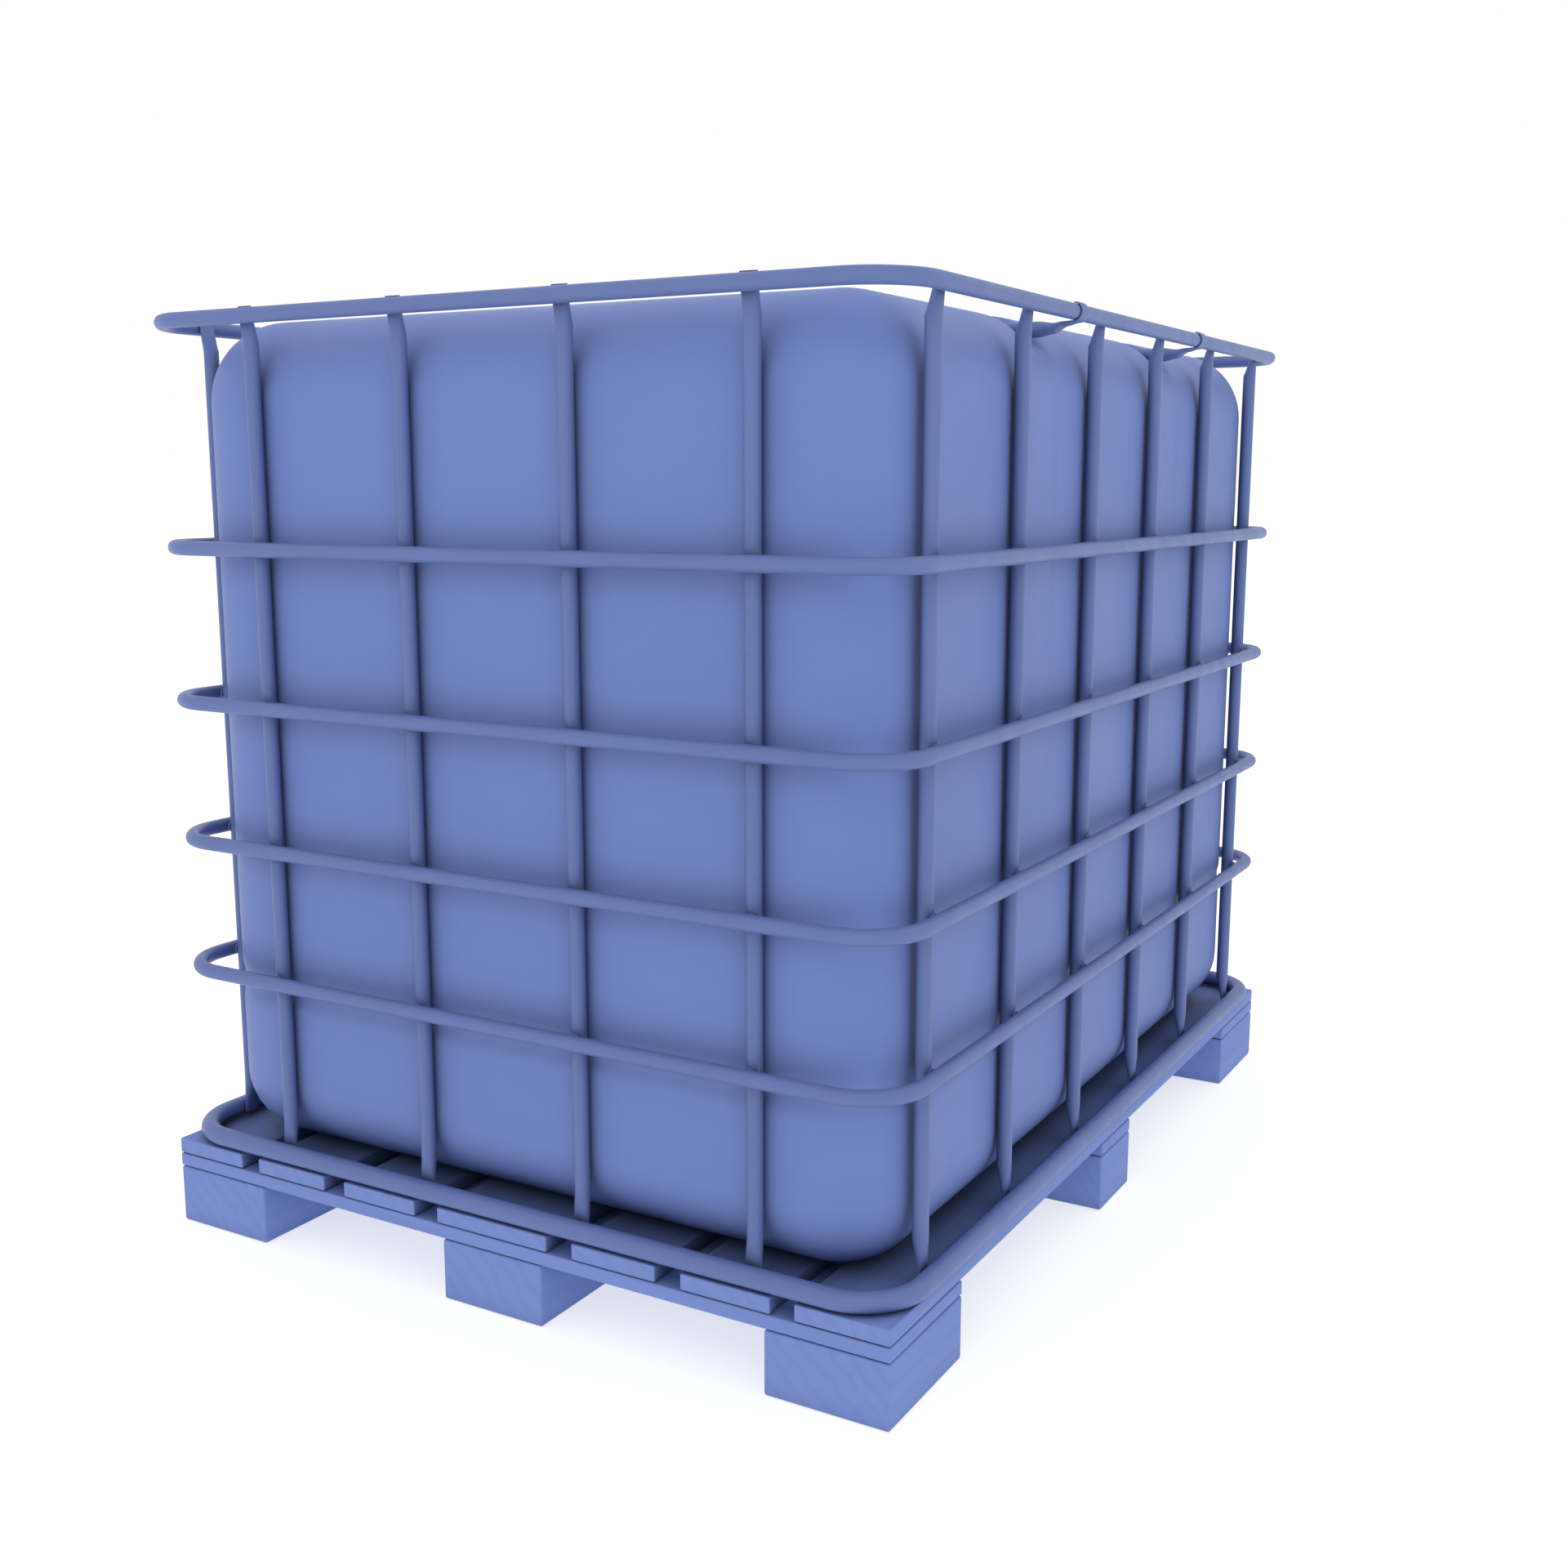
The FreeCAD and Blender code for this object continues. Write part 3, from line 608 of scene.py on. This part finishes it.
def merged(*lists):
    """One sorted list of all the values, without near-doubles."""
    values = sorted(set(round(v, 5) for part in lists for v in part))
    return [v for i, v in enumerate(values) if i == 0 or v - values[i - 1] > 0.0012]


def bead(z):
    """Depth of the shallow horizontal groove."""
    a, b, c, d = BEAD_Z
    return BEAD_DEPTH * smoothstep((z - a) / (b - a)) * smoothstep((d - z) / (d - c))


def bottle_levels():
    """Inset and height of each loop, from the middle of the base to the middle of the top."""
    insets = merged(spaced(FOOT_R, 0.150, 0.007), spaced(0.150, BOTTLE_HX, 0.06))
    levels = [(s, BOTTLE_Z0) for s in reversed(insets)]
    for i in range(1, 11):
        a = math.pi / 2 * i / 10
        levels.append((FOOT_R * (1 - math.sin(a)), BOTTLE_Z0 + FOOT_R * (1 - math.cos(a))))
    wall_low, wall_high = BOTTLE_Z0 + FOOT_R, BOTTLE_Z1 - SHOULDER_R
    heights = merged(spaced(wall_low, 0.235, 0.008), spaced(0.235, 0.350, 0.0045),
                     spaced(0.350, wall_high, 0.030))
    levels += [(bead(z), z) for z in heights[1:]]
    for i in range(1, 15):
        a = math.pi / 2 * i / 14
        levels.append((SHOULDER_R * (1 - math.cos(a)), wall_high + SHOULDER_R * math.sin(a)))
    levels += [(s, BOTTLE_Z1) for s in spaced(SHOULDER_R, BOTTLE_HX, 0.005)[1:]]
    return levels


def bottle_loop(inset, z):
    """Points round the bottle at one inset; columns keep their x or y and stop at the diagonal."""
    r = max(BOTTLE_R - inset, 0.0)
    hx, hy = BOTTLE_HX - inset, BOTTLE_HY - inset
    reach_x, reach_y = hx - r, hy - r
    full_x, full_y = BOTTLE_HX - BOTTLE_R, BOTTLE_HY - BOTTLE_R
    xs = merged(spaced(-full_x, full_x, 0.024), spaced(-0.044, 0.044, 0.008),
                spaced(-0.134, -0.076, 0.004), spaced(0.076, 0.134, 0.004))
    near = GROOVE_HALF + GROOVE_RAMP + 0.004
    ys = merged(spaced(-full_y, full_y, 0.024), spaced(-0.128, 0.128, 0.006),
                spaced(-GROOVE_Y - near, -GROOVE_Y + near, 0.004),
                spaced(GROOVE_Y - near, GROOVE_Y + near, 0.004))
    xs = [min(max(x, -reach_x), reach_x) for x in xs]
    ys = [min(max(y, -reach_y), reach_y) for y in ys]
    loop = []

    def corner(sx, sy, quarter):
        for i in range(1, 9):
            a = math.pi / 2 * (quarter + i / 9)
            loop.append(Vector((sx * reach_x + r * math.cos(a), sy * reach_y + r * math.sin(a), z)))

    loop += [Vector((hx, y, z)) for y in ys]
    corner(1, 1, 0)
    loop += [Vector((x, hy, z)) for x in reversed(xs)]
    corner(-1, 1, 1)
    loop += [Vector((-hx, y, z)) for y in reversed(ys)]
    corner(-1, -1, 2)
    loop += [Vector((x, -hy, z)) for x in xs]
    corner(1, -1, 3)
    return loop


def groove(point):
    """Sinks the top and shoulders into the two grooves that the cross bars lie in."""
    off = abs(abs(point.y) - GROOVE_Y)
    depth = 1 - smoothstep((off - GROOVE_HALF) / GROOVE_RAMP)
    if depth <= 0 or point.z < 0.5:
        return point
    side, x = math.copysign(1, point.x), abs(point.x)
    wall_top, flat = BOTTLE_Z1 - SHOULDER_R, BOTTLE_HX - SHOULDER_R
    arc_x, arc_z = GROOVE_HX - GROOVE_R, GROOVE_Z - GROOVE_R
    if point.z <= wall_top:
        fade = smoothstep((point.z - 0.55) / 0.35)
        stretch = (arc_z - wall_top) * smoothstep((point.z - 0.90) / (wall_top - 0.90))
        goal = (x + (GROOVE_HX - x) * fade, point.z + stretch)
    elif x > flat:
        a = math.atan2(point.z - wall_top, x - flat)
        goal = (arc_x + GROOVE_R * math.cos(a), arc_z + GROOVE_R * math.sin(a))
    else:
        goal = (x * arc_x / flat, GROOVE_Z)
    return Vector((side * (x + (goal[0] - x) * depth), point.y, point.z + (goal[1] - point.z) * depth))


def well(point):
    """Sinks the round well for the filling neck."""
    if point.z < 1.0:
        return point
    radius = math.hypot(point.x, point.y)
    floor = WELL_Z + (BOTTLE_Z1 - WELL_Z) * smoothstep((radius - WELL_R0) / (WELL_R1 - WELL_R0))
    return Vector((point.x, point.y, min(point.z, floor)))


def recess(point):
    """Pushes the back wall in round the discharge valve; the pocket is open below."""
    if point.y < RECESS_Y or point.z > RECESS_Z + 0.01:
        return point
    across = (RECESS_HX - abs(point.x)) / RECESS_ROUND
    above = (RECESS_Z - point.z) / RECESS_ROUND
    depth = smoothstep(across) * smoothstep(above)
    wall = BOTTLE_HY - (BOTTLE_HY - RECESS_Y) * depth
    return Vector((point.x, min(point.y, wall), point.z))


def make_bottle():
    loops = [[recess(well(groove(p))) for p in bottle_loop(s, z)] for s, z in bottle_levels()]
    body = Build().loft(loops, caps=False)
    kept = []
    for face in body.faces:
        centre = sum((body.verts[i] for i in face), Vector()) / len(face)
        in_neck = centre.z > 1.0 and math.hypot(centre.x, centre.y) < NECK_BORE + 0.002
        from_spout = math.hypot(centre.x, centre.z - VALVE_Z)
        in_spout = from_spout < 0.027 and RECESS_Y - 0.002 < centre.y < RECESS_Y + 0.01
        if not (in_neck or in_spout):
            kept.append(face)
    body.faces = kept
    root = NECK_R - 0.0022
    neck = [(root + 0.012, WELL_Z - 0.0005), (root + 0.005, WELL_Z + 0.001), (root + 0.0015, WELL_Z + 0.004),
            (root, WELL_Z + 0.008), (root, NECK_Z - 0.0015), (root - 0.0015, NECK_Z),
            (NECK_BORE + 0.0015, NECK_Z), (NECK_BORE, NECK_Z - 0.0015), (NECK_BORE, WELL_Z - 0.002),
            (NECK_BORE + 0.002, WELL_Z - 0.006)]
    body.turned(neck, (0, 0, 0), segments=96)
    body.thread(root, 0.0020, NECK_PITCH, NECK_Z - 0.021, 2.2, (0, 0, 0), segments=96)
    spout = [(SPOUT_ROOT + 0.010, RECESS_Y - 0.001), (SPOUT_ROOT + 0.004, RECESS_Y + 0.0005),
             (SPOUT_ROOT, RECESS_Y + 0.004), (SPOUT_ROOT, SPOUT_Y - 0.001), (SPOUT_ROOT - 0.001, SPOUT_Y),
             (SPOUT_BORE + 0.001, SPOUT_Y), (SPOUT_BORE, SPOUT_Y - 0.001), (SPOUT_BORE, RECESS_Y - 0.004),
             (SPOUT_BORE + 0.003, RECESS_Y - 0.006)]
    body.turned(spout, (0, 0, VALVE_Z), axis="Y", segments=64)
    body.thread(SPOUT_ROOT, 0.0016, VALVE_PITCH, SPOUT_Y - 0.026, 3.4, (0, 0, VALVE_Z), axis="Y")
    body.finish("blown_bottle", BOTTLE_MATERIAL, slot="bottle_plastic", replaces=["bottle"], sharp=50)


# ================================================================ lid

def ribbed(count, height, low, high, sharpness=3.0):
    """Radius bump for grip ribs between two heights."""
    def bump(angle, at, radius):
        if not low <= at <= high:
            return 0.0
        wave = 0.5 + 0.5 * math.cos(angle * count)
        ends = smoothstep((at - low) / 0.002) * smoothstep((high - at) / 0.002)
        return height * wave ** sharpness * ends
    return bump


def make_lid():
    """Screw lid: ribbed skirt, sunk top with spokes round a button, and a thread inside."""
    z0, z1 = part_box("fill_lid")[0].z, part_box("fill_lid")[1].z
    roof, radius, bore = LID_ROOF_Z, LID_R, LID_BORE
    grips = ribbed(LID_RIBS, 0.0016, z0 + 0.001, z1 - 0.004)

    def outside(angle, at, r):
        return grips(angle, at, r) if r > bore + 0.003 else 0.0

    profile = [(bore, z0), (radius - 0.001, z0), (radius, z0 + 0.001), (radius, z0 + 0.003)]
    profile += [(radius, z) for z in spaced(z0 + 0.006, z1 - 0.007, 0.004)]
    profile += [(radius, z1 - 0.0045)]
    for i in range(1, 7):
        a = math.pi / 2 * i / 6
        profile.append((radius - 0.004 * (1 - math.cos(a)), z1 - 0.004 + 0.004 * math.sin(a)))
    profile += [(0.0715, z1), (0.0700, z1 - 0.0006), (0.0690, z1 - 0.0024), (0.0640, z1 - 0.0026),
                (0.030, z1 - 0.0026), (0.001, z1 - 0.0026)]
    inner = [(0.001, roof), (0.060, roof), (bore - 0.0004, roof), (bore, roof - 0.0004), (bore, z0)]
    build = Build()
    build.turned(profile, (0, 0, 0), segments=LID_RIBS * 12, bump=outside)
    build.turned(inner, (0, 0, 0), segments=LID_RIBS * 12)
    build.thread(bore + 0.0006, -0.0013, NECK_PITCH, z0 + 0.004, 2.6, (0, 0, 0), segments=96)
    for turn in range(LID_SPOKES // 2):
        def spin(point, angle=math.pi / 3 * turn):
            return Matrix.Rotation(angle, 3, "Z") @ point
        build.rounded_box((-SPOKE_REACH, -0.0028, z1 - 0.0045), (SPOKE_REACH, 0.0028, z1 - 0.0002),
                          0.0012, 3, spin)
    build.turned([(0.0165, z1 - 0.004), (0.0165, z1 - 0.0012), (0.0155, z1 - 0.0002), (0.011, z1 - 0.0002),
                  (0.010, z1 - 0.0012), (0.001, z1 - 0.0012)], (0, 0, 0), segments=48)
    build.finish("screw_lid", CAP_MATERIAL, body="fill_lid", slot="cap_plastic", replaces=["fill_lid"])


# ================================================================ discharge valve

def make_nut():
    """Union nut with grip lugs, which holds the valve on the spout."""
    low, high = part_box("valve_nut")
    y0, y1 = low.y, high.y
    lugs = ribbed(NUT_LUGS, 0.0042, y0 + 0.003, y1 - 0.004, 5.0)

    def outside(angle, at, r):
        return lugs(angle, at, r) if r > 0.044 else 0.0

    profile = [(0.0385, y0), (0.0445, y0), (NUT_R, y0 + 0.001), (NUT_R, y0 + 0.0035)]
    profile += [(NUT_R, y) for y in spaced(y0 + 0.006, y1 - 0.007, 0.006)]
    profile += [(NUT_R, y1 - 0.0045), (0.0440, y1 - 0.0018), (0.0415, y1), (0.0320, y1),
                (0.0312, y1 - 0.0008), (0.0312, y1 - 0.0055), (0.0385, y1 - 0.0058)]
    build = Build()
    build.turned(profile, (0, 0, VALVE_Z), axis="Y", segments=NUT_LUGS * 12, bump=outside, wrap=True)
    build.finish(
        "union_nut", CAP_MATERIAL, slot="cap_plastic", replaces=["valve_nut"])


def make_valve_body():
    """Valve housing: flange, fluted barrel, threaded outlet and the boss round the stem."""
    low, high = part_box("valve_body")
    y0, y1 = low.y, high.y
    bore, tube, root = 0.0253, 0.0303, 0.0285
    housing, h0, h1 = HOUSING_R, HOUSING_Y0, HOUSING_Y1

    def outside(angle, at, r):
        if r < housing - FLUTE_DEPTH or not h0 + 0.003 < at < h1 - 0.003:
            return 0.0
        return -FLUTE_DEPTH * (0.5 + 0.5 * math.cos(angle * HOUSING_FLUTES)) ** 4

    profile = [(bore, y0), (0.0370, y0), (0.0375, y0 + 0.0005), (0.0375, y0 + 0.0055), (0.0370, y0 + 0.006),
               (tube, y0 + 0.0062), (tube, h0 - 0.001), (housing - 0.003, h0), (housing, h0 + 0.003)]
    profile += [(housing, y) for y in spaced(h0 + 0.006, h1 - 0.006, 0.006)]
    profile += [(housing, h1 - 0.003), (housing - 0.003, h1), (root, h1 + 0.0008), (root, y1 - 0.0015),
                (root - 0.0012, y1), (bore, y1)]
    build = Build()
    build.turned(profile, (0, 0, VALVE_Z), axis="Y", segments=128, bump=outside, wrap=True)
    build.thread(root, 0.0014, VALVE_PITCH, y1 - 0.0185, 2.5, (0, 0, VALVE_Z), axis="Y", segments=64)
    boss_top = high.z
    boss = [(0.0160, VALVE_Z + 0.030), (0.0145, VALVE_Z + 0.0362), (0.0122, VALVE_Z + 0.0385),
            (0.0118, boss_top - 0.006), (0.0120, boss_top - 0.0055), (0.0120, boss_top - 0.001),
            (0.0110, boss_top), (0.0056, boss_top), (STEM_BORE, boss_top - 0.0006),
            (STEM_BORE, VALVE_Z + 0.030)]
    build.turned(boss, (0, STEM_Y, 0), segments=48)
    for side in (-1, 1):
        build.rounded_box((min(side * 0.010, side * 0.0145), STEM_Y - 0.002, VALVE_Z + 0.034),
                          (max(side * 0.010, side * 0.0145), STEM_Y + 0.002, boss_top - 0.007), 0.0008)
    build.finish("valve_housing", VALVE_MATERIAL, slot="valve_plastic", replaces=["valve_body"])


def make_lever():
    """Hand lever: waisted hub, tapering arm with a raised rim, drooped rounded grip."""
    low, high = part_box("valve_lever")
    z0, z1, reach = low.z, high.z, high.x
    grip_half_w, grip_count, grip_step = 0.0064, 5, 0.0055
    build = Build()
    hub = [(0.0051, z0), (0.0125, z0), (0.0138, z0 + 0.0012), (0.0138, z1 - 0.002), (0.0130, z1 - 0.0006),
           (0.0120, z1), (0.0085, z1), (0.0080, z1 - 0.001), (0.0051, z1 - 0.001)]
    build.turned(hub, (0, STEM_Y, 0), segments=48, wrap=True)
    middle = (z0 + z1) / 2
    loops = []
    for i in range(29):
        t = i / 28
        x = 0.010 + (reach - 0.010) * t
        half_w = 0.0085 - 0.0022 * smoothstep(t / 0.45) + 0.0026 * smoothstep((t - 0.5) / 0.35)
        end = max(0.0, (x - (reach - 0.0087)) / 0.0087)
        half_w *= math.sqrt(max(1 - end * end, 0.0004))
        half_h = (0.0040 + 0.0008 * smoothstep((t - 0.5) / 0.3)) * (1 - 0.25 * end * end)
        lift = 0.0006 * math.sin(math.pi * t)
        loops.append([Vector((x, STEM_Y + u, middle + lift + v))
                      for u, v in oval(half_w, half_h, 28, 0.62)])
    build.loft(loops)
    for i in range(grip_count):
        x = reach - 0.018 - grip_step * i
        build.rounded_box((x - 0.0011, STEM_Y - grip_half_w, middle + 0.0036),
                          (x + 0.0011, STEM_Y + grip_half_w, z1 - 0.0004), 0.0006)
    build.finish("hand_lever", CAP_MATERIAL, body="valve_spindle", slot="cap_plastic",
                 replaces=["valve_lever"])


def make_outlet_cap():
    """Screw cap: ribbed side, sunk ring and crossed bars on its face, and a thread inside."""
    low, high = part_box("outlet_cap")
    y0, y1 = low.y, high.y
    bore, radius, roof = CAP_BORE, CAP_R, y1 - CAP_TOP
    grips = ribbed(CAP_RIBS, 0.0014, y0 + 0.001, y1 - 0.003)

    def outside(angle, at, r):
        return grips(angle, at, r) if r > radius - 0.001 else 0.0

    profile = [(bore, y0), (radius - 0.0008, y0), (radius, y0 + 0.0008), (radius, y0 + 0.003)]
    profile += [(radius, y) for y in spaced(y0 + 0.006, y1 - 0.006, 0.004)]
    profile += [(radius, y1 - 0.0035)]
    for i in range(1, 6):
        a = math.pi / 2 * i / 5
        profile.append((radius - 0.003 * (1 - math.cos(a)), y1 - 0.003 + 0.003 * math.sin(a)))
    profile += [(0.0285, y1), (0.0275, y1 - 0.0014), (0.0150, y1 - 0.0014), (0.0142, y1 - 0.0002),
                (0.001, y1 - 0.0002)]
    build = Build()
    inner = [(0.001, roof), (bore - 0.001, roof), (bore, roof - 0.001), (bore, y0)]
    build.turned(profile, (0, 0, VALVE_Z), axis="Y", segments=CAP_RIBS * 12, bump=outside)
    build.turned(inner, (0, 0, VALVE_Z), axis="Y", segments=CAP_RIBS * 12)
    build.thread(bore + 0.0005, -0.0006, VALVE_PITCH, y0 + 0.003, 2.4, (0, 0, VALVE_Z), axis="Y",
                 segments=64)
    for turn in range(2):
        def spin(point, angle=math.pi / 2 * turn):
            centre = Vector((0, 0, VALVE_Z))
            return Matrix.Rotation(angle, 3, "Y") @ (point - centre) + centre
        build.rounded_box((-0.028, y1 - 0.003, VALVE_Z - 0.0018), (0.028, y1 - 0.0003, VALVE_Z + 0.0018),
                          0.0007, 3, spin)
    build.finish("dust_cap", CAP_MATERIAL, body="outlet_cap", slot="cap_plastic",
                 replaces=["outlet_cap"])


def make_valve():
    make_nut()
    make_valve_body()
    make_lever()
    make_outlet_cap()


def dress_carried_nodes():
    """Materials for the design's own solids that stay visible."""
    for names, material in ((("deck_nails", "cage_screws"), FIXING),
                            (("lid_gasket", "valve_gasket", "valve_seat", "outlet_gasket"), RUBBER),
                            (("valve_disc",), VALVE_MATERIAL)):
        for name in names:
            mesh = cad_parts[name].data
            mesh.materials.clear()
            mesh.materials.append(material)


# ================================================================ stage

FLOOR_HALF, FLOOR_Z, FLOOR_GLOW = 60, -0.0005, 0.63
WHITE = (1.0, 1.0, 1.0, 1)
CAMERA_PLACE, CAMERA_TILT, CAMERA_TURN, LENS = (1.186, -2.056, 0.924), 80.0, 30.0, 39.38


def make_stage():
    """Plain pale floor, bright enough to run into the white background without a horizon."""
    mesh = bpy.data.meshes.new("floor")
    corners = [(-1, -1), (1, -1), (1, 1), (-1, 1)]
    mesh.from_pydata([(x * FLOOR_HALF, y * FLOOR_HALF, FLOOR_Z) for x, y in corners], [], [(0, 1, 2, 3)])
    s = Shader("pale_floor", 0.8, specular=0.0)
    s.colour(s.mix(s.noise(1.2, 3), (0.52, 0.52, 0.525), (0.55, 0.55, 0.555)), painted_shade_depth=0.0)
    s.shader.inputs["Emission Color"].default_value = WHITE
    s.shader.inputs["Emission Strength"].default_value = FLOOR_GLOW
    mesh.materials.append(s.material)
    piece = bpy.data.objects.new("floor", mesh)
    bpy.context.scene.collection.objects.link(piece)


def area_light(name, place, target, size, power):
    data = bpy.data.lights.new(name, "AREA")
    data.shape = "DISK"
    data.size = size
    data.energy = power
    lamp = bpy.data.objects.new(name, data)
    lamp.location = place
    lamp.rotation_euler = (Vector(target) - Vector(place)).to_track_quat("-Z", "Y").to_euler()
    bpy.context.scene.collection.objects.link(lamp)


def make_light():
    """Even white surroundings with two weak soft lamps for shape."""
    world = bpy.data.worlds.new("studio")
    world.use_nodes = True
    world.node_tree.nodes["Background"].inputs["Color"].default_value = WHITE
    world.node_tree.nodes["Background"].inputs["Strength"].default_value = 1.0
    bpy.context.scene.world = world
    area_light("key", (1.6, -3.6, 3.2), (0, 0, 0.55), 2.2, 14)
    area_light("back", (-2.6, 3.4, 2.8), (0, 0, 0.6), 2.4, 12)
    bpy.context.scene.view_settings.view_transform = "Standard"


def make_camera():
    """Camera at the reference view, a little above the middle and looking down."""
    data = bpy.data.cameras.new("camera")
    data.sensor_width = 36.0
    data.lens = LENS
    camera = bpy.data.objects.new("camera", data)
    camera.location = CAMERA_PLACE
    camera.rotation_euler = (math.radians(CAMERA_TILT), 0.0, math.radians(CAMERA_TURN))
    bpy.context.scene.collection.objects.link(camera)
    bpy.context.scene.camera = camera


make_camera()
make_light()
make_stage()
make_pallet()
make_cage()
make_bottle()
make_lid()
make_valve()
dress_carried_nodes()
